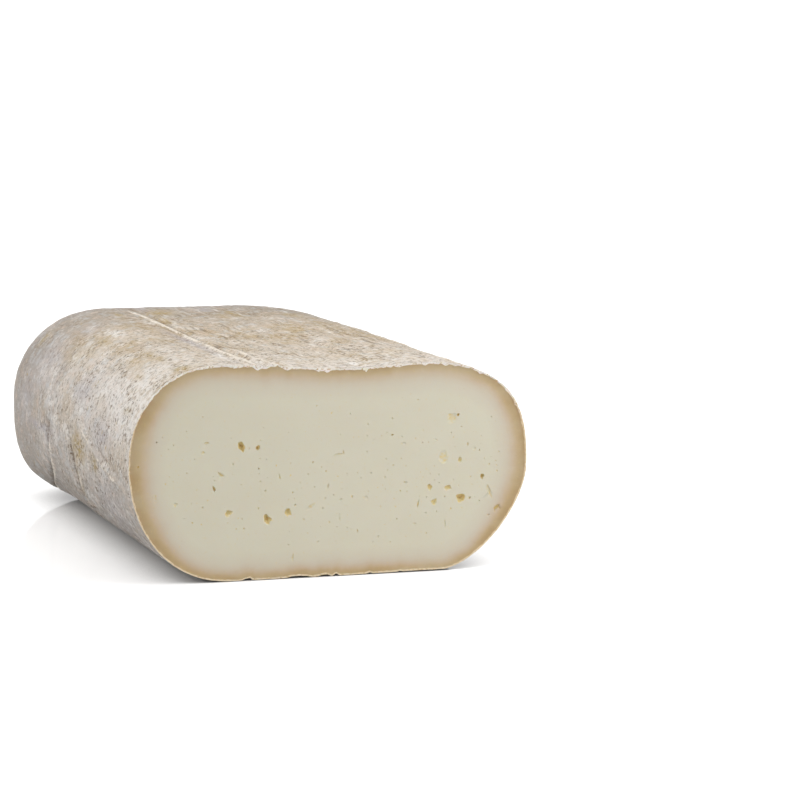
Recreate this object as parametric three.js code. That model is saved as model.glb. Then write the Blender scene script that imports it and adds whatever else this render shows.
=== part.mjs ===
// Half of an oblong loaf cheese lying flat, with its cut face in front and its rounded end behind.
// Millimetres, +Z up. The length runs along Y, and the origin is under the middle of the loaf.
import * as THREE from 'three';
import { LoftGeometry } from 'three/addons/geometries/LoftGeometry.js';

// Overall sizes
const LENGTH = 232;
const WIDTH = 140;
const HEIGHT = 73.5;

// Rounded end: its sides turn in by END_INSET over END_DEPTH, and its face swells by END_DOME
const END_DEPTH = 33;
const END_INSET = 20;
const END_DOME = 2;

// The loaf's section at the cut and where the rounded end starts. A side is widest at the height
// of its belly. Each corner curves over its reach along the top or bottom, and its power is that of
// a superellipse: 2 makes an ellipse, more a squarer corner and less a flatter one.
const CUT_SECTION = {
  right: { belly: 35.5, top: { reach: 53.5, power: 2.95 }, bottom: { reach: 30.5, power: 1.6 } },
  left: { belly: 40.5, top: { reach: 30.5, power: 2.05 }, bottom: { reach: 35.5, power: 2.15 } },
};
const END_SECTION = {
  right: { belly: 42, top: { reach: 61, power: 2.6 }, bottom: { reach: 34, power: 1.9 } },
  left: { belly: 37.5, top: { reach: 36.5, power: 2.1 }, bottom: { reach: 42, power: 2.5 } },
};

// Fineness of the mesh
const CORNER_STEPS = 14;
const BODY_ROWS = 8;
const END_ROWS = 8;
const DOME_ROWS = 3;

const { lerp, smoothstep } = THREE.MathUtils;

// The side that is the given share of the way from the cut section's side to the end section's
function sideBetween(cut, end, share) {
  const corner = (a, b) => ({
    reach: lerp(a.reach, b.reach, share),
    power: lerp(a.power, b.power, share),
  });
  return {
    belly: lerp(cut.belly, end.belly, share),
    top: corner(cut.top, end.top),
    bottom: corner(cut.bottom, end.bottom),
  };
}

// One side's outline from the top to the bottom, where side is 1 on the right and -1 on the left
function sideOutline({ belly, top, bottom }, side) {
  const points = [];
  for (let i = -CORNER_STEPS; i <= CORNER_STEPS; i++) {
    const { reach, power } = i < 0 ? top : bottom;
    const rise = i < 0 ? HEIGHT - belly : -belly;
    const angle = Math.abs(i) / CORNER_STEPS * Math.PI / 2;
    const out = WIDTH / 2 - reach + reach * Math.cos(angle) ** (2 / power);
    points.push(new THREE.Vector2(side * out, belly + rise * Math.sin(angle) ** (2 / power)));
  }
  return points;
}

// The whole outline, clockwise as seen from the cut face
function outlineAt(share) {
  const right = sideOutline(sideBetween(CUT_SECTION.right, END_SECTION.right, share), 1);
  const left = sideOutline(sideBetween(CUT_SECTION.left, END_SECTION.left, share), -1);
  return [...right, ...left.reverse()];
}

// A ring of the loft, at a distance from the cut, turned in by inset on every side, then drawn
// towards its middle by spread
function ring(distance, share, inset = 0, spread = 1) {
  const acrossScale = spread * (1 - 2 * inset / WIDTH);
  const upScale = spread * (1 - 2 * inset / HEIGHT);
  return outlineAt(share).map((p) => new THREE.Vector3(
    p.x * acrossScale,
    distance - LENGTH / 2,
    HEIGHT / 2 + (p.y - HEIGHT / 2) * upScale,
  ));
}

function loafGeometry() {
  const rings = [];
  const bodyLength = LENGTH - END_DOME - END_DEPTH;
  for (let i = 0; i < BODY_ROWS; i++) {
    const share = i / BODY_ROWS;
    rings.push(ring(bodyLength * share, share));
  }
  for (let i = 0; i <= END_ROWS; i++) {
    const angle = i / END_ROWS * Math.PI / 2;
    rings.push(ring(bodyLength + END_DEPTH * Math.sin(angle), 1, END_INSET * (1 - Math.cos(angle))));
  }
  for (let i = 1; i <= DOME_ROWS; i++) {
    const swell = END_DOME * smoothstep(i, 0, DOME_ROWS);
    rings.push(ring(bodyLength + END_DEPTH + swell, 1, END_INSET, 1 - i / (DOME_ROWS + 1)));
  }
  return new LoftGeometry(rings, { capStart: true, capEnd: true });
}

function cheeseHalf() {
  const rind = new THREE.MeshStandardMaterial({ color: 0xc8b89c, roughness: 0.85, metalness: 0 });
  const mesh = new THREE.Mesh(loafGeometry(), rind);
  mesh.name = 'cheese_half';
  return mesh;
}

const group = new THREE.Group();
group.add(cheeseHalf());

export default group;
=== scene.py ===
# Half of an oblong natural-rind loaf cheese, lying on a pale floor with its cut face to the front.
import math
import random

import bpy
import numpy as np
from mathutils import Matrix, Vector, noise
from mathutils.geometry import delaunay_2d_cdt


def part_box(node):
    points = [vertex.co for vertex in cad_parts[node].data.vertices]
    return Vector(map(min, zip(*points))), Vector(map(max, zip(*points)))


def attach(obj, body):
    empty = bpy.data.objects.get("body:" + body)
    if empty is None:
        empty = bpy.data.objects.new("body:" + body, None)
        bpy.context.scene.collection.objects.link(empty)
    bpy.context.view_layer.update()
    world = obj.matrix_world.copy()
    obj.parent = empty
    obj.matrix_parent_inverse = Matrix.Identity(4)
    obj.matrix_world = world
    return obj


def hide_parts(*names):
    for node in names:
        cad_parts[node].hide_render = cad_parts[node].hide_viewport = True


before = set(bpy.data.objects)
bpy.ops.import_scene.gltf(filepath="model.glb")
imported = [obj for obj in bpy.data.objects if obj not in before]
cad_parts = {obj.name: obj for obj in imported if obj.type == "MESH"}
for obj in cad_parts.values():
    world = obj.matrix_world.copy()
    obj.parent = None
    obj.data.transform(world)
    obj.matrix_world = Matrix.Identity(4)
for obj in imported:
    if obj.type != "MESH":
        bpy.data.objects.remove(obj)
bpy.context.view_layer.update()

# Lengths below are in millimetres, and become metres when a mesh is made.
MM = 0.001
NODE = "cheese_half"
box_low, box_high = [np.array(corner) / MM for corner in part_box(NODE)]
WIDTH, LENGTH, HEIGHT = box_high - box_low
CUT_Y = box_low[1]

# The rounded end, as in the CAD model
END_DEPTH = 33
END_INSET = 20
END_DOME = 2
BODY_LENGTH = LENGTH - END_DOME - END_DEPTH

# The loaf's sections, as in the CAD model. Each side has the height of its belly, and a top and a
# bottom corner given by reach and superellipse power.
CUT_SECTION = {"right": (35.5, (53.5, 2.95), (30.5, 1.6)), "left": (40.5, (30.5, 2.05), (35.5, 2.15))}
END_SECTION = {"right": (42.0, (61.0, 2.6), (34.0, 1.9)), "left": (37.5, (36.5, 2.1), (42.0, 2.5))}

COLUMNS = 560  # points round the loaf
ROW_STEP = 1.8  # between the rows of points along it
END_ROWS = 16  # rows over the rounded end
RIM_ROWS = (0.0, 0.35, 0.8, 1.4, 2.2, 3.3, 4.8)  # distances from the cut of the first rows
CORNER_POINTS = 200  # points of a section's corner before it is resampled
FACE_DEPTH = 0.5  # how far the paste lies behind the foremost crumbs of the crust
RIND_SLOT, PASTE_SLOT = 0, 1  # the mesh's materials
SHARP_ANGLE = 50  # edges that turn by more degrees than this are shaded sharp


# ---- small helpers

def srgb(red, green, blue):
    """A colour given as 8-bit screen values, as linear light."""
    channels = [c / 255 for c in (red, green, blue)]
    linear = [c / 12.92 if c <= 0.04045 else ((c + 0.055) / 1.055) ** 2.4 for c in channels]
    return (*linear, 1.0)


def smoothstep(low, high, value):
    """0 at low and 1 at high, eased between them."""
    t = np.clip((value - low) / (high - low), 0, 1)
    return t * t * (3 - 2 * t)


def noise_at(points, seed, octaves=3):
    """Fractal noise of about -1 to 1 at points scaled to its grain; each seed is another part of it."""
    offset = Vector((seed * 7.31, seed * 3.77, seed * 5.13))
    smoothness, frequency_step = 1.0, 2.0
    return np.array([noise.fractal(Vector(p) + offset, smoothness, frequency_step, octaves) for p in points])


def add_object(name, data):
    """A new object in the scene."""
    made = bpy.data.objects.new(name, data)
    bpy.context.scene.collection.objects.link(made)
    return made


# ---- the loaf's plain surface

def blend_sections(share):
    """The section that is the given share of the way from the cut to the rounded end."""
    def mix(a, b):
        if isinstance(a, tuple):
            return tuple(mix(x, y) for x, y in zip(a, b))
        return a + (b - a) * share
    return {side: mix(CUT_SECTION[side], END_SECTION[side]) for side in ("right", "left")}


def outline(share):
    """COLUMNS points (x, z) evenly spaced round a section, clockwise from the middle of its top."""
    angles = np.linspace(0, math.pi / 2, CORNER_POINTS)
    halves = []
    for side, (belly, (top_reach, top_power), (low_reach, low_power)) in blend_sections(share).items():
        top_x = WIDTH / 2 - top_reach + top_reach * np.cos(angles) ** (2 / top_power)
        top_z = belly + (HEIGHT - belly) * np.sin(angles) ** (2 / top_power)
        low_x = WIDTH / 2 - low_reach + low_reach * np.cos(angles) ** (2 / low_power)
        low_z = belly * (1 - np.sin(angles) ** (2 / low_power))
        x = np.concatenate([[0], top_x[::-1], low_x[1:], [0]])
        z = np.concatenate([[HEIGHT], top_z[::-1], low_z[1:], [0]])
        halves.append((x, z) if side == "right" else (-x[::-1], z[::-1]))
    x = np.concatenate([halves[0][0], halves[1][0][1:]])
    z = np.concatenate([halves[0][1], halves[1][1][1:]])
    travelled = np.concatenate([[0], np.cumsum(np.hypot(np.diff(x), np.diff(z)))])
    places = np.arange(COLUMNS) / COLUMNS * travelled[-1]
    around = np.where(places > travelled[-1] / 2, places - travelled[-1], places)
    return np.interp(places, travelled, x), np.interp(places, travelled, z), around


def profile_rows():
    """Rows from the cut to the edge of the end face: (distance from the cut, inset, place along)."""
    rows = [(d, 0.0, d) for d in RIM_ROWS]
    count = round((BODY_LENGTH - RIM_ROWS[-1]) / ROW_STEP)
    rows += [(d, 0.0, d) for d in np.linspace(RIM_ROWS[-1], BODY_LENGTH, count + 1)[1:]]
    angles = np.linspace(0, math.pi / 2, END_ROWS + 1)
    arc = np.concatenate([[0], np.cumsum(np.hypot(
        END_DEPTH * np.diff(np.sin(angles)), END_INSET * np.diff(np.cos(angles))))])
    for angle, length in zip(angles[1:], arc[1:]):
        rows.append((BODY_LENGTH + END_DEPTH * math.sin(angle),
                     END_INSET * (1 - math.cos(angle)), BODY_LENGTH + length))
    return rows


def plain_surface():
    """Grids of the rind's points and of their places around (0 at the top, positive right) and along."""
    points, around, along = [], [], []
    for distance, inset, length in profile_rows():
        x, z, u = outline(min(1.0, distance / BODY_LENGTH))
        x = x * (1 - 2 * inset / WIDTH)
        z = HEIGHT / 2 + (z - HEIGHT / 2) * (1 - 2 * inset / HEIGHT)
        points.append(np.stack([x, np.full(COLUMNS, CUT_Y + distance), z], axis=1))
        around.append(u)
        along.append(np.full(COLUMNS, length))
    return np.array(points), np.array(around), np.array(along)


def grid_normals(points):
    """Outward normals of a grid whose rows run along and whose columns run clockwise."""
    across = np.roll(points, -1, axis=1) - np.roll(points, 1, axis=1)
    down = np.gradient(points, axis=0)
    normals = np.cross(across, down)
    return normals / np.maximum(np.linalg.norm(normals, axis=-1, keepdims=True), 1e-9)


# ---- relief of the rind

# Folds left by the cloth along the top, as (along, around) paths, with half width and height
LONG_FOLDS = (
    (((-20, -24.5), (0, -25.5), (46, -28.4), (112, -27.2), (176, -27.0), (206, -29)), 1.15, 1.1),
    (((-20, -21.8), (37, -23.8), (93, -24.4), (187, -23.0), (206, -24)), 1.3, -0.8),
    (((-20, -16.5), (0, -17.9), (15, -19.9), (30, -20.9), (56, -21.6)), 0.65, 0.55),
    (((-20, -13.0), (0, -14.5), (22, -16.8), (40, -18.0)), 0.8, -0.4),
    (((4, -101), (28, -96.5), (48, -94), (62, -89.5), (88, -83)), 1.0, 0.7),
    (((10, -97), (30, -93), (50, -90.5), (64, -86.5), (84, -81)), 0.9, -0.55),
    (((100, -91), (112, -89.5), (134, -87.5), (152, -93), (160, -99)), 1.3, 0.55),
)
# Creases that run round the side, as (around, along) paths, with half width and height
CROSS_FOLDS = (
    (((-134, 196), (-126, 184), (-118, 163), (-112, 148), (-105, 141), (-96, 137), (-84, 133)), 1.8, -2.0),
    (((-130, 178), (-121, 167), (-116, 153), (-111, 140), (-104, 134), (-94, 131)), 2.6, 0.8),
    (((-138, 110), (-126, 102), (-111, 95.5), (-103, 94), (-96, 95.5), (-84, 102)), 1.8, -2.2),
    (((-120, 90), (-111, 88), (-103, 86), (-96, 87)), 2.2, 0.7),
    (((-124, 66), (-115, 62), (-104, 60), (-98, 62)), 0.9, -0.4),
)
PATH_ROUNDING = (-0.09, -0.045, 0.0, 0.045, 0.09)  # shares of a path that its corners are rounded over
FOLD_FADE = 0.18  # share of a fold over which it fades at each end
LONG_WANDER, CROSS_WANDER = 0.7, 2.0  # how far the folds stray from their paths
FOLD_STRENGTH, FOLD_BREAKS = 0.9, 0.5  # their mean strength, and how much it varies
BREAK_GRAIN = 7  # grain of the noise that moves and breaks the folds

# Fainter lines left by the cloth along the top and the right shoulder: how many, and their ranges
CLOTH_LINES = 34
LINE_START, LINE_LENGTH = (-40, 150), (45, 130)
LINE_PLACE, LINE_DRIFT = (-22, 95), (-3, 1)
LINE_HALF_WIDTH, LINE_HEIGHTS = (0.55, 1.1), (-0.42, -0.3, 0.24, 0.34)

# Lumps of the surface: grain across, along and up, height, seed and octaves of the noise
LUMPS = (((55, 55, 55), 0.25, 1, 2), ((14, 20, 14), 0.2, 2, 3), ((3.2, 5.5, 3.2), 0.12, 3, 2))
LUMPS_AT_CUT = 0.4  # their share at the cut, where the knife has pressed the rind even
MEAN_RELIEF = -0.3  # so that few lumps reach the CAD box
UNDER_RELIEF = 0.35  # share of the relief that the loaf's weight leaves on its underside

# The lower left side swells out beyond the last crease and draws in before it
LOW_LEFT, LOW_LEFT_HALF = -119, 15  # middle around, and half width
FAR_SWELL, SWELL_FROM, SWELL_TO = 1.5, 172, 186
WAIST, WAIST_PLACE, WAIST_HALF = 0.8, 142, 24


def fold(across, lengthways, path, half_width, height):
    """A ridge, or with a negative height a groove, along a path; it fades at both ends."""
    places, centres = np.array(sorted(path)).T
    span = places[-1] - places[0]
    rounded = [np.interp(lengthways + share * span, places, centres) for share in PATH_ROUNDING]
    centre = sum(rounded) / len(rounded)
    fade = FOLD_FADE * span
    ends = smoothstep(places[0], places[0] + fade, lengthways)
    ends *= 1 - smoothstep(places[-1] - fade, places[-1], lengthways)
    return height * ends * np.exp(-((across - centre) / half_width) ** 2)


def cloth_lines(around, along):
    """Fine lines left by the cloth, all nearly along the loaf."""
    rng = random.Random(11)
    total = np.zeros_like(around)
    for _ in range(CLOTH_LINES):
        near, length = rng.uniform(*LINE_START), rng.uniform(*LINE_LENGTH)
        across, drift = rng.uniform(*LINE_PLACE), rng.uniform(*LINE_DRIFT)
        path = ((near, across), (near + length / 2, across + drift), (near + length, across + 1.4 * drift))
        height = rng.choice(LINE_HEIGHTS)
        total += fold(around, along, path, rng.uniform(*LINE_HALF_WIDTH), height)
    return total


def rind_folds(around, along, breaks):
    """All folds, each wandering a little and fading where breaks, noise of about -1 to 1, is low."""
    total = cloth_lines(around, along)
    for path, half_width, height in LONG_FOLDS:
        total += fold(around + LONG_WANDER * breaks, along, path, half_width, height)
    for path, half_width, height in CROSS_FOLDS:
        total += fold(along + CROSS_WANDER * breaks, around, path, half_width, height)
    return total * (FOLD_STRENGTH + FOLD_BREAKS * breaks)


def rind_lumps(points):
    """The uneven swell of a loaf formed by hand, in wide, narrower and fine lumps."""
    flat = points.reshape(-1, 3)
    total = sum(height * noise_at(flat / grain, seed, octaves) for grain, height, seed, octaves in LUMPS)
    return total.reshape(points.shape[:2])


# ---- marks on the rind

# Ochre, white and violet marks that stand out: place around and along, half sizes, strength
STAINS = ((-96, 56, 3, 5, 1.0), (-94, 82, 5.5, 12, 1.0), (-106, 90, 6, 4, 0.9), (-72.5, 20, 1.2, 3, 0.9),
          (-49.5, 41, 1.3, 6, 0.8), (-50, 57, 1.3, 6, 0.9), (-53, 116, 1.6, 12, 0.8), (-60, 118, 4, 8, 0.4),
          (-63, 128, 5, 14, 0.4), (-49.5, 7, 2.6, 8, 1.0), (-60, 35, 1.5, 5, 0.5), (-18, 176, 6, 11, 0.9),
          (9, 168, 2.2, 12, 0.9), (3, 160, 2.5, 12, 0.5), (-22, 150, 2.5, 18, 0.7), (32, 120, 4, 20, 0.5),
          (32, 165, 5, 12, 0.7), (18, 112, 4, 14, 0.4), (-34, 175, 1.5, 8, 0.9), (-5, 45, 3, 5, 0.4),
          (-62, 190, 4, 3, 0.6))
BLOOMS = ((-47, 124, 3.5, 16, 0.9), (-56, 28, 9, 16, 0.7), (-44, 60, 4, 22, 0.6), (-37, 22, 6, 14, 0.7),
          (-31, 30, 2.5, 16, 0.9), (12, 14, 3, 7, 1.0), (15, 6, 24, 8, 0.7), (52, 8, 16, 9, 0.6),
          (-68, 55, 8, 22, 0.6), (-80, 84, 4, 9, 0.7), (-20, 44, 1, 10, 1.0), (-13, 78, 2, 8, 0.7),
          (-90, 105, 4, 8, 0.6))
COOLS = ((-84, 45, 7, 14, 0.8), (-94, 150, 1.5, 24, 0.9), (-30.5, 70, 1.8, 50, 0.8), (-73, 88, 6, 13, 0.6),
         (-70, 160, 12, 18, 0.4), (-112, 40, 10, 26, 0.5), (-50, 150, 6, 14, 0.3), (-98, 138, 5, 5, 0.7),
         (-85, 178, 14, 14, 0.4), (-21, 190, 2, 14, 0.9), (2, 186, 3, 8, 0.6), (0, 199, 70, 4, 0.4))


def marks(around, along, table):
    """How strong a kind of mark is at each place."""
    total = np.zeros_like(around)
    for across, away, half_around, half_along, strength in table:
        reach = ((around - across) / half_around) ** 2 + ((along - away) / half_along) ** 2
        total = np.maximum(total, strength * np.exp(-reach))
    return total


# ---- the crust's edge at the cut

# Crumbs of crust that the knife pushed over the cut: place around, half width and length
CRUMBS = ((-43, 2.2, 0.4), (-33, 1.2, 0.4), (-25.3, 1.5, 1.2), (-15.5, 1.0, 0.5), (-12.5, 0.8, 0.4),
          (-4, 1.4, 0.7), (-1.2, 0.8, 0.9), (12.3, 0.5, 1.0), (24, 1.1, 0.3), (33, 0.8, 0.4),
          (41, 1.1, 0.3), (54, 0.8, 0.4), (66, 0.8, 0.4), (72, 0.6, 0.6), (79, 0.8, 0.4))
CRUST_WIDTH, CRUST_MIN = 0.36, 0.2  # mean and least width of the crust on the cut face
CRUST_RAGGED, CRUST_GRAIN = 0.2, 1.6  # how much its width varies, and over what length
SAG = (7.6, 27.9, 2.6)  # dip of the top edge at the cut: middle, half width, depth

# Roughness of the rim at the sides, and what the top has beyond it
RIM_ROUGHNESS, TOP_ROUGHNESS = 0.16, 0.5
RIM_OUT, RIM_OUT_GRAIN = 0.32, 1.3  # how far the rim's lumps stand out, and their grain
RIM_FORWARD, RIM_RAGGED, RIM_FORWARD_GRAIN = 0.25, 0.2, 1.1  # the same for crumbs pushed forward
RIM_BACK = 0.6  # share of FACE_DEPTH that the rim lies back
RIM_FADES = (1.0, 0.85, 0.5, 0.2)  # share of the roughness on the first rows

# The bottom edge stands off the surface by a little, and by more at the right
BOTTOM_LIFT, RIGHT_LIFT, RIGHT_LIFT_REACH = 0.12, 0.3, 16
UNDER_REACH = 24  # how far in along the loaf the underside is lifted
# Gaps between the bottom edge and the surface: middle, half width and height
GAPS = ((-29.5, 1.3, 0.6), (-28.4, 0.6, 0.4), (-13.0, 2.2, 0.55), (-9.6, 2.0, 0.45), (-2.8, 1.5, 0.5),
        (-1.2, 0.8, 0.4), (1.7, 0.7, 0.8), (13.6, 0.7, 0.5), (24.3, 0.6, 0.3))
GAP_FROM, GAP_REACH = 0.3, 1.6  # the gaps close between these distances from the cut


def ragged(around, seed, grain):
    """Noise of about -1 to 1 that depends on the place around the rim only."""
    angle = around / around.max() * math.pi
    circle = np.stack([np.cos(angle), np.sin(angle), 0 * angle], axis=1) * around.max() / math.pi
    return noise_at(circle / grain, seed, 3)


def crust_width(around):
    """How far in from the rim the pale crust reaches on the cut face."""
    width = CRUST_WIDTH + CRUST_RAGGED * ragged(around, 4, CRUST_GRAIN)
    for place, half_width, length in CRUMBS:
        width += length * np.exp(-((around - place) / half_width) ** 2)
    return np.maximum(width, CRUST_MIN)


def bottom_lift(x, along):
    """How far the bottom edge of the cut stands off the surface."""
    lift = BOTTOM_LIFT + RIGHT_LIFT * smoothstep(0, 45, x) * np.exp(-along / RIGHT_LIFT_REACH)
    for middle, half_width, height in GAPS:
        shape = np.exp(-np.abs((x - middle) / half_width) ** 3)
        lift += height * shape * (1 - smoothstep(GAP_FROM, GAP_REACH, along))
    return lift


def roughen_rim(points, normals, around):
    """Breaks up the edge of the crust, most along the top."""
    place = around[0]
    top = smoothstep(0.1, 0.8, normals[0, :, 2])
    size = RIM_ROUGHNESS + TOP_ROUGHNESS * top
    for row, fade in enumerate(RIM_FADES):
        out = RIM_OUT * fade * size * ragged(place, 5 + row // 2, RIM_OUT_GRAIN)
        forward = fade * size * (RIM_RAGGED * ragged(place, 8, RIM_FORWARD_GRAIN) + RIM_FORWARD)
        points[row] += normals[row] * out[:, None]
        points[row, :, 1] += FACE_DEPTH * RIM_BACK - forward


# ---- the rind's grid

def rind_surface():
    """The rind's points, the height of the folds at each, and their places around and along."""
    points, around, along = plain_surface()
    normals = grid_normals(points)
    upward = normals[..., 2]
    breaks = noise_at(points.reshape(-1, 3) / BREAK_GRAIN, 15, 3).reshape(around.shape)
    folds = rind_folds(around, along, breaks)
    lumps_share = LUMPS_AT_CUT + (1 - LUMPS_AT_CUT) * smoothstep(2, 30, along)
    relief = folds + rind_lumps(points) * lumps_share + MEAN_RELIEF
    low_left = np.exp(-((around - LOW_LEFT) / LOW_LEFT_HALF) ** 2)
    relief += FAR_SWELL * smoothstep(SWELL_FROM, SWELL_TO, along) * low_left
    relief -= WAIST * np.exp(-((along - WAIST_PLACE) / WAIST_HALF) ** 2) * low_left
    relief *= UNDER_RELIEF + (1 - UNDER_RELIEF) * smoothstep(-0.98, -0.6, upward)
    middle, half_width, depth = SAG
    sag = depth * np.exp(-((points[..., 0] - middle) / half_width) ** 2)
    sag *= smoothstep(0.2, 0.9, upward)
    under = (1 - smoothstep(-0.9, -0.2, upward)) * (1 - smoothstep(0, UNDER_REACH, along))
    lift = bottom_lift(points[..., 0], along) * under
    points = points + normals * relief[..., None]
    points[..., 2] += lift - sag * (1 - smoothstep(0, BODY_LENGTH, along))
    roughen_rim(points, normals, around)
    points[..., 2] -= points[..., 2].min()
    return points, folds, around, along


# ---- eyes in the paste

# The larger eyes: x from the middle, height, width, tallness, tilt in degrees, depth
EYES = (
    (-29.9, 46.0, 2.3, 3.7, 20, 2.4), (-24.3, 45.4, 1.8, 1.6, 0, 1.8), (-27.3, 45.2, 1.0, 0.9, 0, 0.5),
    (-34.5, 23.7, 2.6, 2.3, 10, 1.3), (-21.2, 20.8, 2.6, 3.6, 10, 2.0), (-14.0, 22.8, 2.1, 3.4, 15, 1.6),
    (46.5, 24.4, 3.3, 3.2, 0, 2.2), (49.8, 24.2, 0.9, 0.9, 0, 1.0), (35.5, 28.6, 1.7, 2.5, 10, 1.2),
    (41.9, 28.1, 2.5, 2.1, 0, 1.2), (37.1, 23.6, 2.5, 2.1, 20, 1.2), (54.2, 31.4, 1.5, 1.9, 10, 1.9),
    (43.3, 51.9, 3.6, 3.8, 0, 0.7), (45.6, 53.0, 1.2, 1.1, 0, 1.4), (40.3, 38.8, 3.6, 4.6, -20, 0.6),
    (46.3, 37.6, 1.7, 2.0, 0, 1.1), (59.3, 20.5, 3.0, 1.2, 35, 1.2), (56.7, 26.3, 1.2, 5.8, 22, 0.7),
    (-36.8, 36.9, 3.0, 1.2, -35, 0.9), (-39.3, 32.3, 0.9, 2.2, 20, 1.4), (-41.7, 47.9, 1.9, 0.8, 0, 0.7),
    (-43.0, 44.6, 1.5, 1.2, -30, 0.5), (-58.7, 49.0, 0.8, 0.7, 0, 0.8), (-65.0, 41.0, 0.8, 0.9, 0, 0.8),
    (-59.4, 30.0, 1.5, 2.8, 10, 0.4), (-52.5, 27.6, 1.7, 1.5, 0, 0.5), (-32.8, 40.3, 0.7, 0.9, 0, 0.5),
    (3.4, 41.6, 3.4, 0.9, 12, 0.6), (5.2, 42.3, 0.9, 1.4, 0, 0.5), (-16.9, 35.3, 0.7, 2.3, 15, 0.5),
    (-0.2, 31.0, 0.9, 2.3, -15, 0.6), (-6.3, 24.3, 4.0, 1.5, 35, 0.5), (-12.5, 7.3, 0.8, 2.8, -10, 0.6),
    (22.4, 47.4, 0.9, 0.7, 0, 0.9), (26.5, 44.1, 1.8, 1.0, 0, 0.5), (37.6, 44.9, 1.3, 0.8, 0, 0.5),
    (49.0, 42.8, 0.8, 1.4, 0, 0.6), (51.3, 41.1, 1.3, 1.1, 0, 0.4), (31.4, 23.3, 0.7, 2.9, -10, 0.8),
    (56.5, 18.0, 1.2, 0.7, 0, 0.6), (27.0, 30.8, 1.7, 1.0, -20, 0.7), (19.6, 33.0, 1.1, 1.0, 0, 0.4),
    (40.9, 16.0, 0.5, 3.2, 5, 0.5), (30.1, 16.4, 1.4, 0.9, 0, 0.4), (10.1, 15.1, 0.5, 1.4, 10, 0.7),
    (3.9, 20.5, 0.4, 2.9, 5, 0.4), (13.1, 26.4, 1.7, 1.4, 0, 0.4), (4.4, 26.2, 1.1, 1.1, 0, 0.5),
)
EYES_LEFT, EYES_SPAN = -27, 72  # x of the left group of eyes, and how far on the right group is
EYES_MOVE, EYES_STRETCH = (-1.15, -0.4), (0.65, 0.8)  # move of the left group; what the right one adds
EYE_DEPTH = 0.5  # share of the depths above
# Rings inside an eye: share of its size, of its depth, and of its painted shade
EYE_RINGS = ((0.84, 0.4, 0.5), (0.6, 0.8, 0.85), (0.3, 1.0, 1.0))
RIM_SHADE = 0.12  # painted shade at the eye's rim
EYE_JITTER, EYE_SHIFT = 0.04, 0.1  # how far its inner points and its floor stray, as shares of it

# Flecks, which are sub-millimetre openings between the eyes: how many, and their ranges
FLECKS = 190
FLECK_X, FLECK_Z = (-62, 64), (31, 14)  # from and to; middle and spread
# FLECK_SHADE is the painted shade at a fleck's floor
FLECK_SIZE, FLECK_DEPTH, FLECK_SHADE = (0.35, 0.95), (0.15, 0.5), (0.25, 0.75)
LEFT_THINNING = 0.35  # share of the flecks that the left half lacks

FACE_GRID = 2.1  # spacing of the plain paste's points
PLAIN_DEPTH = 9.3  # how far in from the rim they start
CRUST_EDGE = 0.28  # width of the step from the crust to the paste
CRUST_CLEAR = 0.6  # how far the band's points keep from the crust
# Loops of points between the crust and the plain paste: depth and count
BAND_LOOPS = ((1.7, 460), (2.9, 400), (4.4, 300), (6.2, 230), (8.3, 170))
BAND_EXTRA, RIGHT_EXTRA = 1.5, 0.5  # how much wider the band is at the left; share at the right
END_LOOPS, END_PLAIN_DEPTH, END_GRID = ((1.2, 300), (2.6, 200)), 3.8, 1.8  # the same for the far end
LIMIT_POINTS = 200  # points of the loops that the plain points stay inside


class Patch:
    """Points and edges on a plane that Delaunay triangulation turns into part of the surface."""

    def __init__(self):
        # eyes holds the ochre of the eyes' walls and the painted shade towards their floors
        self.places, self.depths, self.eyes, self.crusts, self.edges = [], [], [], [], []

    def add(self, places, depth=0.0, eye=0.0, crust=0.0, ring=False):
        """Adds points, as a closed ring of edges if asked."""
        first, count = len(self.places), len(places)
        self.places += [tuple(p) for p in places]
        for values, value in ((self.depths, depth), (self.eyes, eye), (self.crusts, crust)):
            values += list(np.broadcast_to(value, count))
        if ring:
            self.edges += [(first + i, first + (i + 1) % count) for i in range(count)]

    def triangles(self):
        """Triangles inside the outer ring, their places, and each place's values and rim number."""
        verts, _, faces, origins, _, _ = delaunay_2d_cdt(
            [Vector(p) for p in self.places], self.edges, [], 1, 1e-5)
        places = np.array([tuple(v) for v in verts])
        source = np.array([min(ids) if ids else -1 for ids in origins])
        rim = np.where(source < COLUMNS, source, -1)
        given = np.array(self.places)
        for i in np.flatnonzero(source < 0):
            source[i] = np.hypot(*(given - places[i]).T).argmin()
        values = {"depth": self.depths, "eye": self.eyes, "crust": self.crusts}
        return places, faces, rim, {name: np.array(data)[source] for name, data in values.items()}


def placed_eyes():
    """The eyes, each moved by what its group needs, to a tenth of a millimetre."""
    eyes = []
    for x, z, *shape in EYES:
        share = (x - EYES_LEFT) / EYES_SPAN
        moved = [round(place + move + stretch * share, 1)
                 for place, move, stretch in zip((x, z), EYES_MOVE, EYES_STRETCH)]
        eyes.append((*moved, *shape))
    return eyes


def eye_ring(harmonics, x, z, width, tallness, tilt, scale, points):
    """A ragged closed ring: an ellipse whose radius wanders with a few harmonics."""
    angles = np.arange(points) / points * 2 * math.pi
    radius = np.ones(points)
    for order, (size, phase) in enumerate(harmonics, start=2):
        radius += size * np.cos(order * angles + phase)
    across, up = width / 2 * radius * np.cos(angles), tallness / 2 * radius * np.sin(angles)
    turn = math.radians(tilt)
    return np.stack([x + scale * (across * math.cos(turn) - up * math.sin(turn)),
                     z + scale * (across * math.sin(turn) + up * math.cos(turn))], axis=1)


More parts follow.
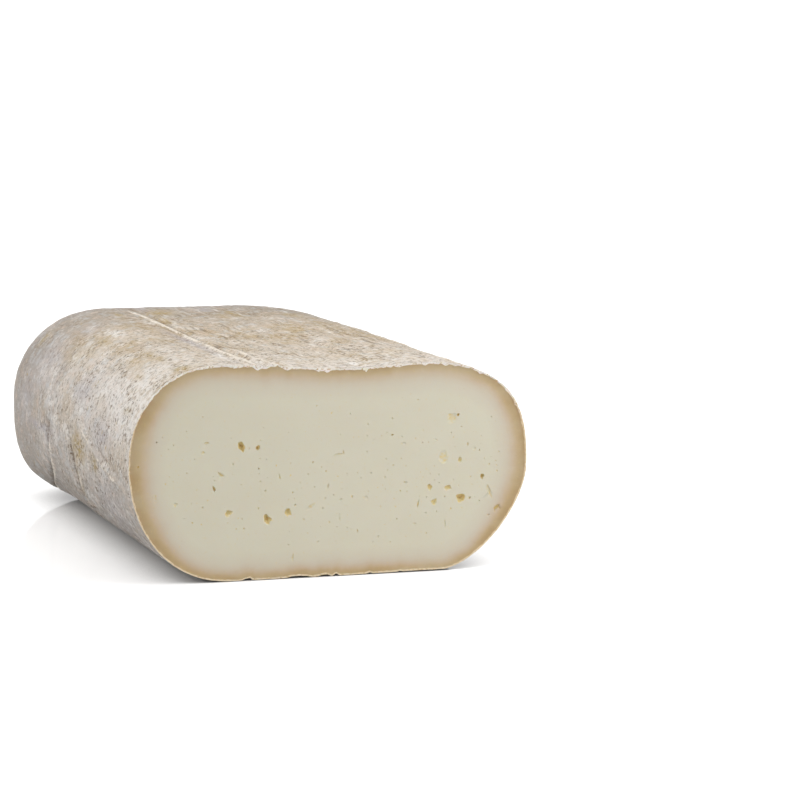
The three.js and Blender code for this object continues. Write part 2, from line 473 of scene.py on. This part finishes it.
def add_eye(patch, rng, x, z, width, tallness, tilt, depth):
    """A pit with a sharp rim, walls that steepen and an off-centre floor, with painted shade that deepens
    towards the floor.
    """
    shape = [(rng.uniform(0.03, 0.15) / (1 + 0.2 * i), rng.uniform(0, 6.28)) for i in range(4)]
    size = math.sqrt(width * tallness)
    points = max(7, min(22, round(7 * size)))
    shift_x = rng.uniform(-EYE_SHIFT, EYE_SHIFT) * width
    shift_z = rng.uniform(-EYE_SHIFT, EYE_SHIFT) * tallness
    outer = 1 + 0.35 / size
    patch.add(eye_ring(shape, x, z, width, tallness, tilt, outer, points))
    patch.add(eye_ring(shape, x, z, width, tallness, tilt, 1.0, points), 0.0, RIM_SHADE, ring=True)
    depth *= EYE_DEPTH
    for scale, share, shade in EYE_RINGS:
        stray = [[rng.uniform(-EYE_JITTER, EYE_JITTER) * size for _ in range(2)] for _ in range(points)]
        middle = (x + shift_x * share, z + shift_z * share)
        ring = eye_ring(shape, *middle, width, tallness, tilt, scale, points) + np.array(stray)
        patch.add(ring, depth * share * rng.uniform(0.85, 1.1), min(1, depth) * shade)
    patch.add([(x + shift_x, z + shift_z)], depth, min(1, depth))


def add_fleck(patch, rng, x, z, size):
    """A shallow opening with one point for its floor, which carries painted shade."""
    shape = [(rng.uniform(0.05, 0.3), rng.uniform(0, 6.28)) for _ in range(3)]
    tall, tilt = size * rng.uniform(0.4, 1.5), rng.uniform(-60, 60)
    patch.add(eye_ring(shape, x, z, size, tall, tilt, 1 + 0.25 / size, 6))
    patch.add(eye_ring(shape, x, z, size, tall, tilt, 1.0, 6), 0.0, 0.1, ring=True)
    patch.add([(x, z)], rng.uniform(*FLECK_DEPTH), rng.uniform(*FLECK_SHADE))


def fleck_places(rng, eyes, inside):
    """Places for flecks, mostly in the middle band of the face, and the circles that are taken."""
    taken = [(x, z, max(w, t) / 2 + 0.6) for x, z, w, t, *_ in eyes]
    made = []
    while len(made) < FLECKS:
        x, z = rng.uniform(*FLECK_X), rng.gauss(*FLECK_Z)
        size = rng.uniform(*FLECK_SIZE)
        if not inside(x, z) or x < 0 and rng.random() < LEFT_THINNING:
            continue
        if any(math.hypot(x - a, z - b) < r + size for a, b, r in taken):
            continue
        taken.append((x, z, size / 2 + 0.5))
        made.append((x, z, size))
    return made, taken


def distance_in(places, rim):
    """How far each place lies in from the rim, by the nearest of its points."""
    return np.array([np.hypot(rim[:, 0] - x, rim[:, 1] - z).min() for x, z in places])


def is_inside(x, z, loop):
    """Whether a place is inside a closed loop."""
    x0, z0 = loop.T
    x1, z1 = np.roll(loop, -1, axis=0).T
    crosses = (z0 > z) != (z1 > z)
    at = x0 + (z - z0) / np.where(crosses, z1 - z0, 1) * (x1 - x0)
    return bool((crosses & (x < at)).sum() % 2)


def inward_loop(rim, depth, count):
    """A loop of count points at a depth in from the rim; depth is a number or one for each rim point."""
    ahead = np.roll(rim, -1, axis=0) - np.roll(rim, 1, axis=0)
    inward = np.stack([ahead[:, 1], -ahead[:, 0]], axis=1)
    inward /= np.linalg.norm(inward, axis=1, keepdims=True)
    for _ in range(3):
        inward = (np.roll(inward, 1, axis=0) + inward + np.roll(inward, -1, axis=0)) / 3
    loop = rim + inward * np.broadcast_to(depth, len(rim))[:, None]
    closed = np.vstack([loop, loop[:1]])
    places = np.arange(count) / count * len(loop)
    return np.stack([np.interp(places, np.arange(len(closed)), closed[:, k]) for k in (0, 1)], axis=1)


def spread_points(patch, rng, step, clear):
    """Jittered grid points over the face, wherever clear(x, z) says so."""
    for x in np.arange(-WIDTH / 2, WIDTH / 2, step):
        for z in np.arange(0, HEIGHT, step):
            place = (x + rng.uniform(-0.25, 0.25) * step, z + rng.uniform(-0.25, 0.25) * step)
            if clear(*place):
                patch.add([place])


def band_depth(places, rim):
    """Distance in from the rim, changed so that the band reaches further in at the sides."""
    x, z = places.T
    wide_sides, narrow_bottom = 0.2 * smoothstep(42, 66, np.abs(x)), 0.2 * (1 - smoothstep(4, 22, z))
    extra = BAND_EXTRA * (smoothstep(-50, -66, x) + RIGHT_EXTRA * smoothstep(50, 66, x))
    return distance_in(places, rim) / (1 + wide_sides - narrow_bottom) - extra


def cut_patch(rim, around):
    """The cut face inside the rim, with its crust, its band of points and its eyes."""
    patch = Patch()
    patch.add(rim, crust=1.0, ring=True)
    width = crust_width(around)
    patch.add(inward_loop(rim, width, 2 * COLUMNS), crust=1.0, ring=True)
    patch.add(inward_loop(rim, width + CRUST_EDGE, 2 * COLUMNS), ring=True)
    for depth, count in BAND_LOOPS:
        patch.add(inward_loop(rim, np.maximum(depth, width + CRUST_CLEAR), count))
    limit = inward_loop(rim, PLAIN_DEPTH, LIMIT_POINTS)
    rng = random.Random(5)
    eyes = placed_eyes()
    flecks, taken = fleck_places(rng, eyes, lambda x, z: is_inside(x, z, limit))
    for eye in eyes:
        add_eye(patch, rng, *eye)
    for fleck in flecks:
        add_fleck(patch, rng, *fleck)

    def clear(x, z):
        return is_inside(x, z, limit) and all(math.hypot(x - a, z - b) > r + 0.5 for a, b, r in taken)

    spread_points(patch, rng, FACE_GRID, clear)
    return patch


def end_patch(rim):
    """The far end inside its last ring."""
    patch = Patch()
    patch.add(rim, ring=True)
    for depth, count in END_LOOPS:
        patch.add(inward_loop(rim, depth, count))
    limit = inward_loop(rim, END_PLAIN_DEPTH, LIMIT_POINTS)
    spread_points(patch, random.Random(8), END_GRID, lambda x, z: is_inside(x, z, limit))
    return patch


# ---- one mesh

# Values at each point of the skin, which the materials read
SKIN_FIELDS = ("fold", "lengthwise", "stain", "bloom", "cool", "edge", "crust", "eye")
CRUST_ROWS = (1.0, 0.8, 0.35)  # share of crust colour on the rind's first rows
CRUST_PROUD, CRUST_LUMPS = 0.12, 0.2  # how far the crust stands off the paste, and its unevenness
FACE_WAVE, FACE_WAVE_GRAIN = 0.07, 22  # height and grain of the waves that the knife left
END_LUMPS, END_LUMP_GRAIN = 0.5, 16  # height and grain of the lumps on the far end


class Skin:
    """The closed surface as it is gathered: points, faces, materials and a value of each field."""

    def __init__(self):
        self.points, self.faces, self.materials = [], [], []
        self.fields = {name: [] for name in SKIN_FIELDS}

    def add_points(self, points, **fields):
        """Adds points with their fields, which are 0 where not given; returns the first one's number."""
        first = len(self.points)
        self.points += [tuple(p) for p in points]
        for name, values in self.fields.items():
            values += list(np.broadcast_to(fields.get(name, 0.0), len(points)))
        return first

    def add_faces(self, faces, material):
        self.faces += faces
        self.materials += [material] * len(faces)

    def add_patch(self, points, faces, rim, rim_first, material, flip=False, **fields):
        """Adds a triangulated patch whose rim points are already there, in order from rim_first."""
        new = rim < 0
        first = self.add_points(points[new], **{name: data[new] for name, data in fields.items()})
        numbers = np.where(new, first + np.cumsum(new) - 1, rim_first + rim)
        step = -1 if flip else 1
        self.add_faces([tuple(int(numbers[i]) for i in face)[::step] for face in faces], material)

    def mesh(self, name):
        """The Blender mesh, held inside the CAD model's box."""
        made = bpy.data.meshes.new(name)
        points = np.clip(self.points, box_low, box_high) * MM
        made.from_pydata([tuple(p) for p in points], [], self.faces)
        for field, values in self.fields.items():
            layer = made.attributes.new(field, "FLOAT", "POINT")
            layer.data.foreach_set("value", np.array(values, dtype=np.float32))
        made.polygons.foreach_set("material_index", self.materials)
        made.polygons.foreach_set("use_smooth", [True] * len(made.polygons))
        made.set_sharp_from_angle(angle=math.radians(SHARP_ANGLE))
        return made


def lengthwise_share(around):
    """How strongly the cloth drew lines along the loaf: most on the top, some on the left shoulder."""
    return 0.25 * smoothstep(-62, -50, around) + 0.45 * smoothstep(-36, -24, around)


def add_rind(skin):
    """Adds the rind as a grid; returns its points and its places around."""
    points, folds, around, along = rind_surface()
    rows = len(points)
    crust = np.zeros((rows, COLUMNS))
    crust[:len(CRUST_ROWS)] = np.array(CRUST_ROWS)[:, None]
    fields = {"fold": folds, "crust": crust, "stain": marks(around, along, STAINS),
              "bloom": marks(around, along, BLOOMS), "cool": marks(around, along, COOLS),
              "lengthwise": lengthwise_share(around)}
    skin.add_points(points.reshape(-1, 3), **{name: data.ravel() for name, data in fields.items()})
    quads = []
    for row in range(rows - 1):
        here, far = row * COLUMNS, (row + 1) * COLUMNS
        for c in range(COLUMNS):
            n = (c + 1) % COLUMNS
            quads.append((here + c, here + n, far + n, far + c))
    skin.add_faces(quads, RIND_SLOT)
    return points, around


def add_cut_face(skin, ring, around):
    """Closes the front of the skin with the cut face, inside the rind's first ring."""
    rim = ring[:, [0, 2]]
    places, faces, rim_numbers, values = cut_patch(rim, around).triangles()
    flat = np.column_stack([places[:, 0], np.full(len(places), CUT_Y + FACE_DEPTH), places[:, 1]])
    proud = values["crust"] * (CRUST_PROUD + CRUST_LUMPS * noise_at(flat / 1.5, 12, 2))
    flat[:, 1] += values["depth"] + FACE_WAVE * noise_at(flat / FACE_WAVE_GRAIN, 13, 2) - proud
    skin.add_patch(flat, faces, rim_numbers, 0, PASTE_SLOT, edge=band_depth(places, rim),
                   crust=values["crust"], eye=values["eye"])


def add_far_end(skin, ring, ring_first):
    """Closes the back of the skin with a low dome, inside the rind's last ring."""
    rim = ring[:, [0, 2]]
    places, faces, rim_numbers, _ = end_patch(rim).triangles()
    inner = distance_in(places, rim)
    flat = np.column_stack([places[:, 0], np.full(len(places), ring[:, 1].mean()), places[:, 1]])
    lumps = END_LUMPS * noise_at(flat / END_LUMP_GRAIN, 14, 3) * smoothstep(0, 5, inner)
    flat[:, 1] += END_DOME * smoothstep(0, 14, inner) + lumps
    skin.add_patch(flat, faces, rim_numbers, ring_first, RIND_SLOT, flip=True)


def build_cheese():
    """The whole piece as one closed mesh."""
    skin = Skin()
    points, around = add_rind(skin)
    add_cut_face(skin, points[0], around[0])
    add_far_end(skin, points[-1], (len(points) - 1) * COLUMNS)
    return skin.mesh("cheese_loaf_half")


# ---- materials

class Shader:
    """A node material built a call at a time. Sizes of grain are in millimetres."""

    def __init__(self, name):
        self.material = bpy.data.materials.new(name)
        self.material.use_nodes = True
        self.nodes = self.material.node_tree.nodes
        self.links = self.material.node_tree.links
        self.surface = self.nodes["Principled BSDF"]
        self.coordinates = self.nodes.new("ShaderNodeTexCoord").outputs["Object"]

    def node(self, kind, inputs, **settings):
        """A new node with its inputs linked or set."""
        made = self.nodes.new(kind)
        for name, value in settings.items():
            setattr(made, name, value)
        self.feed(made, inputs)
        return made

    def feed(self, node, inputs):
        for key, value in inputs.items():
            if isinstance(value, bpy.types.NodeSocket):
                self.links.new(value, node.inputs[key])
            else:
                node.inputs[key].default_value = value

    def position(self):
        """The places along the loaf (Y) and the heights (Z), in millimetres."""
        scaled = self.node("ShaderNodeVectorMath", {"Vector": self.coordinates, "Scale": 1 / MM},
                           operation="SCALE")
        split = self.node("ShaderNodeSeparateXYZ", {"Vector": scaled.outputs["Vector"]})
        return split.outputs["Y"], split.outputs["Z"]

    def attribute(self, name):
        return self.node("ShaderNodeAttribute", {}, attribute_name=name).outputs["Fac"]

    def place(self, grain, seed=0, turn=(0, 0, 0)):
        """The object's coordinates in units of the grain, turned, and moved by the seed."""
        move = (seed * 0.31, seed * 0.17, seed * 0.23)
        inputs = {"Vector": self.coordinates, "Rotation": turn, "Scale": [g * MM for g in grain],
                  "Location": move}
        return self.node("ShaderNodeMapping", inputs, vector_type="TEXTURE").outputs["Vector"]

    def noise(self, grain, seed=0, detail=3.0, roughness=0.55, distortion=0.0, turn=(0, 0, 0)):
        inputs = {"Vector": self.place(grain, seed, turn), "Scale": 1.0, "Detail": detail,
                  "Roughness": roughness, "Distortion": distortion}
        return self.node("ShaderNodeTexNoise", inputs).outputs["Fac"]

    def between(self, value, low, high, to_low=0.0, to_high=1.0):
        """value eased from to_low at low to to_high at high."""
        inputs = {"Value": value, "From Min": low, "From Max": high, "To Min": to_low, "To Max": to_high}
        return self.node("ShaderNodeMapRange", inputs, interpolation_type="SMOOTHSTEP").outputs["Result"]

    def math(self, operation, a, b=0.0):
        made = self.node("ShaderNodeMath", {}, operation=operation)
        self.feed(made, {0: a, 1: b})
        return made.outputs[0]

    def times(self, a, b):
        return self.math("MULTIPLY", a, b)

    def mix(self, factor, a, b):
        """Colour a, or b where the factor is 1."""
        made = self.node("ShaderNodeMix", {}, data_type="RGBA")
        self.feed(made, {0: factor, 6: a, 7: b})
        return made.outputs[2]

    def ramp(self, value, stops):
        """A colour ramp through (position, colour) stops."""
        made = self.node("ShaderNodeValToRGB", {"Fac": value})
        elements = made.color_ramp.elements
        while len(elements) < len(stops):
            elements.new(0.5)
        for element, (position, colour) in zip(elements, stops):
            element.position, element.color = position, colour
        return made.outputs["Color"]

    def bump(self, height, distance):
        """A bump of that many millimetres."""
        return self.node("ShaderNodeBump", {"Height": height, "Distance": distance * MM,
                                            "Strength": 1.0}).outputs["Normal"]


SIDE = srgb(221, 213, 206)
GREY = srgb(196, 188, 181)
VIOLET = srgb(180, 173, 175)
ROSY = srgb(219, 196, 176)
BLUISH = srgb(203, 205, 206)
# Painted shade: the rind darkens towards the bottom of the loaf, where less light falls
LOW_PAINTED_SHADE = srgb(172, 164, 156)
TAN = srgb(189, 169, 138)
FAR_RIND = srgb(154, 145, 136)
POWDER = srgb(240, 235, 229)
# Painted highlight on the ridges of the folds
RIDGE_HIGHLIGHT = srgb(240, 231, 218)
OCHRE = srgb(176, 152, 100)
SHADOW = srgb(84, 70, 54)
# Painted shade for the grooves, creases, dark lines and dark specks of the rind
CREVICE_SHADE = srgb(118, 101, 80)
CRUST = srgb(216, 197, 167)
CRUST_SHADE = srgb(188, 163, 124)
BAND = srgb(174, 149, 107)
PASTE = srgb(208, 203, 184)
PASTE_CLOUD = srgb(205, 198, 176)
EYE_OCHRE = srgb(214, 190, 120)
# Painted shade at the floors of the eyes
EYE_FLOOR_SHADE = srgb(166, 122, 50)

# The band under the crust, as (millimetres in, counted from BAND_EXTRA outside the rim, colour)
BAND_STEPS = ((0.0, srgb(163, 133, 91)), (2.4, BAND), (3.4, srgb(183, 158, 119)), (4.9, srgb(194, 174, 148)),
              (6.5, srgb(200, 188, 169)), (8.3, srgb(204, 196, 178)), (12.5, PASTE))

# Grains of the rind's noises, across, along and up
PATCH_GRAIN = (24, 34, 24)
TAN_GRAIN = (12, 34, 12)
TINT_GRAIN = (4, 7, 4)
POWDER_GRAIN = (9, 14, 9)
FLAKE_GRAIN = (2.6, 3.4, 2.6)
STAIN_GRAIN = (3.2, 4.5, 3.2)
STAIN_FLECK_GRAIN = (1.8, 2.6, 1.8)
WEAR_GRAIN = (7, 10, 7)
SPECK_GRAIN = (1.5, 1.8, 1.5)
PIT_GRAIN = (0.9, 1.2, 0.9)
LINE_GRAIN = (1.6, 20, 1.6)
LINE_WEAR_GRAIN = (14, 24, 14)
FOLD_GRAIN = (1.4, 3, 1.4)
RIND_BUMP = 0.7  # height of the specks, pits and lines together


def rind_ground(s, along, height):
    """The rind's patches of colour, and painted shade that darkens it towards the bottom, before its specks
    and folds.
    """
    grey = s.between(s.noise(PATCH_GRAIN, 5), 0.42, 0.66)
    tan = s.between(s.noise(TAN_GRAIN, 6, detail=4), 0.4, 0.64, 0.0, 0.45)
    top = s.between(height, 60, 71, 0.0, 0.62)
    far = s.between(along, -10, 85, 0.0, 0.82)
    # painted shade, darker towards the bottom
    low = s.between(height, 46, 14, 0.0, 0.9)
    tint = s.noise(TINT_GRAIN, 10, detail=4, roughness=0.65)
    colour = s.mix(grey, SIDE, GREY)
    colour = s.mix(s.math("ADD", tan, top), colour, TAN)
    colour = s.mix(far, colour, FAR_RIND)
    colour = s.mix(low, colour, LOW_PAINTED_SHADE)
    colour = s.mix(s.between(tint, 0.5, 0.68, 0.0, 0.4), colour, ROSY)
    colour = s.mix(s.between(tint, 0.48, 0.34, 0.0, 0.5), colour, BLUISH)
    return s.mix(s.attribute("cool"), colour, VIOLET)


def add_powder(s, colour, along, height):
    """White mould in ragged flakes, thickest on the shoulders near the cut."""
    broad = s.between(s.noise(POWDER_GRAIN, 7, detail=4, roughness=0.65), 0.48, 0.66, 0.0, 0.6)
    broad = s.times(broad, s.between(along, 80, 10, 0.4, 1.0))
    near = s.between(along, -20, -108, 0.0, 0.76)
    near = s.times(near, s.between(height, 36, 56, 0.1, 1.0))
    near = s.times(near, s.between(height, 64, 71, 1.0, 0.72))
    powder = s.math("MAXIMUM", s.math("MAXIMUM", broad, near), s.attribute("bloom"))
    flakes = s.between(s.noise(FLAKE_GRAIN, 8, detail=4, roughness=0.68), 0.34, 0.56)
    return s.mix(s.times(powder, flakes), colour, POWDER)


def add_stains(s, colour):
    """Ochre growth, in the marked places and in scattered flecks."""
    flecked = s.between(s.noise(STAIN_FLECK_GRAIN, 9, roughness=0.6), 0.36, 0.58, 0.25, 1.0)
    scattered = s.between(s.noise(STAIN_GRAIN, 11, roughness=0.6), 0.64, 0.72, 0.0, 0.7)
    stain = s.math("MAXIMUM", scattered, s.attribute("stain"))
    return s.mix(s.times(stain, flecked), colour, OCHRE)


def add_specks(s, colour, along):
    """Pale specks, and painted shade in the dark specks and pits of the crust, fewer at the far end.

    Returns the colour and the height of the same relief."""
    fresh = s.between(along, 95, -30, 0.3, 1.0)
    patchy = s.between(s.noise(WEAR_GRAIN, 4, roughness=0.6), 0.36, 0.6, 0.35, 1.0)
    strength = s.times(fresh, patchy)
    specks = s.noise(SPECK_GRAIN, 1, detail=4, roughness=0.68, distortion=0.3)
    pits = s.noise(PIT_GRAIN, 3, detail=2, roughness=0.6)
    # painted shade in the low specks and in the pits
    speck_shade = s.times(s.between(specks, 0.455, 0.39, 0.0, 0.85), strength)
    light = s.times(s.between(specks, 0.53, 0.62, 0.0, 0.55), strength)
    pit_shade = s.times(s.between(pits, 0.37, 0.30, 0.0, 0.85), strength)
    for share, tint in ((speck_shade, CREVICE_SHADE), (light, POWDER), (pit_shade, SHADOW)):
        colour = s.mix(share, colour, tint)
    high = s.times(s.times(specks, strength), 1.2)
    return colour, s.math("ADD", high, s.times(pits, 0.4))


def add_lines(s, colour, relief):
    """Lines where the cloth drew along the top, with painted shade in their grooves and painted highlight on
    their raised parts; returns the colour and the relief with them.
    """
    lines = s.noise(LINE_GRAIN, 2, roughness=0.62, distortion=0.3)
    patchy = s.between(s.noise(LINE_WEAR_GRAIN, 14, detail=2), 0.38, 0.6, 0.3, 1.0)
    drawn = s.times(s.attribute("lengthwise"), patchy)
    # painted shade in the lines' grooves
    colour = s.mix(s.times(s.between(lines, 0.45, 0.33, 0.0, 0.85), drawn), colour, CREVICE_SHADE)
    # painted highlight on the lines' raised parts
    colour = s.mix(s.times(s.between(lines, 0.56, 0.68, 0.0, 0.7), drawn), colour, POWDER)
    return colour, s.math("ADD", relief, s.times(lines, drawn))


def add_fold_light_and_shade(s, colour):
    """Painted highlight on the ridges and painted shade in the creases, where the mesh has them."""
    broken = s.between(s.noise(FOLD_GRAIN, 12), 0.35, 0.6, 0.45, 1.15)
    folds = s.times(s.attribute("fold"), broken)
    # painted highlight on the ridges
    colour = s.mix(s.between(folds, 0.25, 0.8, 0.0, 0.9), colour, RIDGE_HIGHLIGHT)
    # painted shade in the creases
    return s.mix(s.between(folds, -0.2, -1.25, 0.0, 0.92), colour, CREVICE_SHADE)


def add_cut_edge(s, colour, along, height):
    """The pale crumbs at the cut's edge, and the shade in the gaps under it."""
    crumbs = s.times(s.attribute("crust"), s.between(height, 2, 12, 0.0, 0.6))
    gaps = s.times(s.between(height, 1.6, 0.4, 0.0, 0.8), s.between(along, -107, -113))
    return s.mix(gaps, s.mix(crumbs, colour, POWDER), SHADOW)


def rind_material():
    """The dry natural rind."""
    s = Shader("natural_rind")
    along, height = s.position()
    colour = rind_ground(s, along, height)
    colour = add_powder(s, colour, along, height)
    colour = add_stains(s, colour)
    colour, relief = add_specks(s, colour, along)
    colour, relief = add_lines(s, colour, relief)
    colour = add_fold_light_and_shade(s, colour)
    colour = add_cut_edge(s, colour, along, height)
    s.feed(s.surface, {"Base Color": colour,
                       "Roughness": s.between(s.noise(PATCH_GRAIN, 13), 0.3, 0.7, 0.75, 0.9),
                       "Normal": s.bump(relief, RIND_BUMP),
                       "Specular IOR Level": 0.25})
    return s.material


# Grains of the paste's noises
DRIFT_GRAIN = (7, 7, 7)
CLOUD_GRAIN = (18, 18, 11)
CURD_GRAIN = (1.1, 1.1, 0.8)
CRUMB_GRAIN = (0.9, 0.9, 0.9)
MOTTLE_GRAIN = (0.8, 0.8, 0.8)
KNIFE_GRAIN = (30, 30, 1.3)
KNIFE_TURN = (0, 0.1, 0)
BAND_DRIFT = 2.4  # how far the band's steps stray
PASTE_BUMP = 0.05
PASTE_SCATTER = 2.5  # how far light goes through the paste


def paste_ground(s):
    """The pale paste, which darkens in steps to the band under the crust."""
    reach = BAND_STEPS[-1][0]
    stray = s.times(s.math("SUBTRACT", s.noise(DRIFT_GRAIN, 1), 0.5), BAND_DRIFT)
    inward = s.math("ADD", s.math("ADD", s.attribute("edge"), BAND_EXTRA), stray)
    return s.ramp(s.math("DIVIDE", inward, reach), [(place / reach, tint) for place, tint in BAND_STEPS])


def add_crust(s, colour):
    """The thin crumbly crust, whiter along the top."""
    _, height = s.position()
    crumbly = s.between(s.noise(CRUMB_GRAIN, 4), 0.32, 0.5)
    pale = s.mix(s.between(height, 50, 66), CRUST, POWDER)
    crust = s.between(s.attribute("crust"), 0.15, 0.85)
    return s.mix(crust, colour, s.mix(crumbly, CRUST_SHADE, pale))


def add_eyes(s, colour):
    """Ochre walls of the eyes, and painted shade that turns brown towards their floors, mottled."""
    mottle = s.times(s.math("SUBTRACT", s.noise(MOTTLE_GRAIN, 5), 0.5), 1.2)
    shade = s.math("ADD", s.attribute("eye"), mottle)
    colour = s.mix(s.between(shade, 0.06, 0.6, 0.0, 0.8), colour, EYE_OCHRE)
    return s.mix(s.between(shade, 0.8, 1.2, 0.0, 0.8), colour, EYE_FLOOR_SHADE)


def paste_material():
    """The moist paste of the cut face, with its crust and eyes."""
    s = Shader("cheese_paste")
    cloud = s.noise(CLOUD_GRAIN, 2)
    curd = s.noise(CURD_GRAIN, 3, roughness=0.6)
    knife = s.noise(KNIFE_GRAIN, 6, detail=2, turn=KNIFE_TURN)
    colour = s.mix(s.between(cloud, 0.3, 0.7, 0.0, 0.25), paste_ground(s), PASTE_CLOUD)
    colour = s.mix(s.between(curd, 0.35, 0.25, 0.0, 0.12), colour, BAND)
    colour = add_crust(s, colour)
    colour = add_eyes(s, colour)
    relief = s.math("ADD", s.times(knife, 0.6), s.times(curd, 0.5))
    s.feed(s.surface, {"Base Color": colour,
                       "Roughness": s.between(cloud, 0.3, 0.7, 0.42, 0.55),
                       "Normal": s.bump(relief, PASTE_BUMP),
                       "Specular IOR Level": 0.4,
                       "Subsurface Weight": 0.25,
                       "Subsurface Radius": (1.0, 0.6, 0.3),
                       "Subsurface Scale": PASTE_SCATTER * MM})
    return s.material


# ---- the piece

mesh = build_cheese()
mesh.materials.append(rind_material())
mesh.materials.append(paste_material())
cheese = add_object("cheese_loaf_half", mesh)
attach(cheese, "root")
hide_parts(NODE)

# ---- camera, light and floor

CAMERA_AZIMUTH = -17.23
CAMERA_ELEVATION = 7.17
CAMERA_DISTANCE = 1155.8
CAMERA_LENS = 153.8
CAMERA_AIM = (24.2, CUT_Y, 59.3)
SENSOR_WIDTH = 36

SEEN_WALLS, LIT_WALLS = 1.04, 0.26  # strength of the room as seen, and as it lights the cheese
SUN_SPREAD = 60  # degrees
# Suns above, at the left and in front: name, direction and energy
SUNS = (("top", (0.1, 0.0, 1.0), 0.87), ("left", (-0.8, -0.2, 0.7), 1.58), ("front", (0.2, -1.0, 0.5), 0.31))
# Round soft boxes at the right: name, place and size in metres, and energy
BOXES = (("right_high", (0.35, -0.40, 0.50), 0.35, 1.16), ("right_low", (0.40, -0.45, 0.15), 0.30, 0.54))

FLOOR_SIDE = 60  # metres
FLOOR_GLOW = 0.45  # light added to the open floor, to keep it white
FLOOR_CLEAR = 28  # distance from the cheese within which the glow fades, leaving a painted shadow
FLOOR_GLOSS, FLOOR_GLOSS_ROUGHNESS = 0.28, 0.06
FLOOR_BOUNCE = 0.6  # share of light that the floor throws back on to the cheese


def make_camera():
    """The camera, at the photo's angle and distance."""
    azimuth, elevation = math.radians(CAMERA_AZIMUTH), math.radians(CAMERA_ELEVATION)
    back = Vector((math.sin(azimuth) * math.cos(elevation), -math.cos(azimuth) * math.cos(elevation),
                   math.sin(elevation)))
    data = bpy.data.cameras.new("camera")
    data.lens = CAMERA_LENS
    data.sensor_width = SENSOR_WIDTH
    camera = add_object("camera", data)
    camera.location = (Vector(CAMERA_AIM) + back * CAMERA_DISTANCE) * MM
    camera.rotation_euler = (-back).to_track_quat("-Z", "Y").to_euler()
    bpy.context.scene.camera = camera


def soft_light(name, kind, place, energy, **settings):
    """A light at a place in metres, turned to the cheese; a sun only has the direction of its place."""
    data = bpy.data.lights.new(name, kind)
    data.energy = energy
    for key, value in settings.items():
        setattr(data, key, value)
    light = add_object(name, data)
    light.location = place
    light.rotation_euler = Vector(place).to_track_quat("Z", "Y").to_euler()


def seen_directly(nodes, links):
    """1 for what the camera and reflections see, and 0 for light that is scattered."""
    ray = nodes.new("ShaderNodeLightPath")
    seen = nodes.new("ShaderNodeMath")
    seen.operation = "MAXIMUM"
    links.new(ray.outputs["Is Camera Ray"], seen.inputs[0])
    links.new(ray.outputs["Is Glossy Ray"], seen.inputs[1])
    return seen.outputs[0]


def make_studio():
    """A bright room with broad soft lights above, at the left and in front at the right."""
    world = bpy.data.worlds.new("studio")
    bpy.context.scene.world = world
    world.use_nodes = True
    nodes, links = world.node_tree.nodes, world.node_tree.links
    walls = nodes.new("ShaderNodeBackground")
    for background, strength in ((nodes["Background"], LIT_WALLS), (walls, SEEN_WALLS)):
        background.inputs["Color"].default_value = (1, 1, 1, 1)
        background.inputs["Strength"].default_value = strength
    mix = nodes.new("ShaderNodeMixShader")
    links.new(seen_directly(nodes, links), mix.inputs[0])
    links.new(nodes["Background"].outputs[0], mix.inputs[1])
    links.new(walls.outputs[0], mix.inputs[2])
    links.new(mix.outputs[0], nodes["World Output"].inputs["Surface"])
    for name, direction, energy in SUNS:
        soft_light(name, "SUN", direction, energy, angle=math.radians(SUN_SPREAD))
    for name, place, size, energy in BOXES:
        soft_light(name, "AREA", place, energy, shape="DISK", size=size)


def make_floor():
    """A white floor with a faint gloss and a glow that fades near the cheese, a painted shadow round it; it
    scatters less light on to the cheese than it shows.
    """
    s = Shader("pale_floor")
    # The glow fades near the cheese, which leaves a painted shadow round it on the floor
    openness = s.node("ShaderNodeAmbientOcclusion", {"Distance": FLOOR_CLEAR * MM}, samples=8).outputs["AO"]
    s.feed(s.surface, {"Base Color": (1, 1, 1, 1), "Roughness": 1.0, "Specular IOR Level": 0.0,
                       "Emission Color": (1, 1, 1, 1),
                       "Emission Strength": s.between(openness, 0.1, 0.55, 0.0, FLOOR_GLOW)})
    gloss = s.node("ShaderNodeBsdfGlossy", {"Color": (1, 1, 1, 1), "Roughness": FLOOR_GLOSS_ROUGHNESS})
    shown = s.node("ShaderNodeMixShader", {0: FLOOR_GLOSS, 1: s.surface.outputs[0], 2: gloss.outputs[0]})
    bounce = s.node("ShaderNodeBsdfDiffuse", {"Color": (*[FLOOR_BOUNCE] * 3, 1)})
    mix = s.node("ShaderNodeMixShader", {0: seen_directly(s.nodes, s.links), 1: bounce.outputs[0],
                                         2: shown.outputs[0]})
    s.links.new(mix.outputs[0], s.nodes["Material Output"].inputs["Surface"])
    mesh = bpy.data.meshes.new("floor")
    half = FLOOR_SIDE / 2
    mesh.from_pydata([(-half, -half, 0), (half, -half, 0), (half, half, 0), (-half, half, 0)], [],
                     [(0, 1, 2, 3)])
    mesh.materials.append(s.material)
    add_object("floor", mesh)


make_camera()
make_studio()
make_floor()
bpy.context.scene.view_settings.view_transform = "Standard"
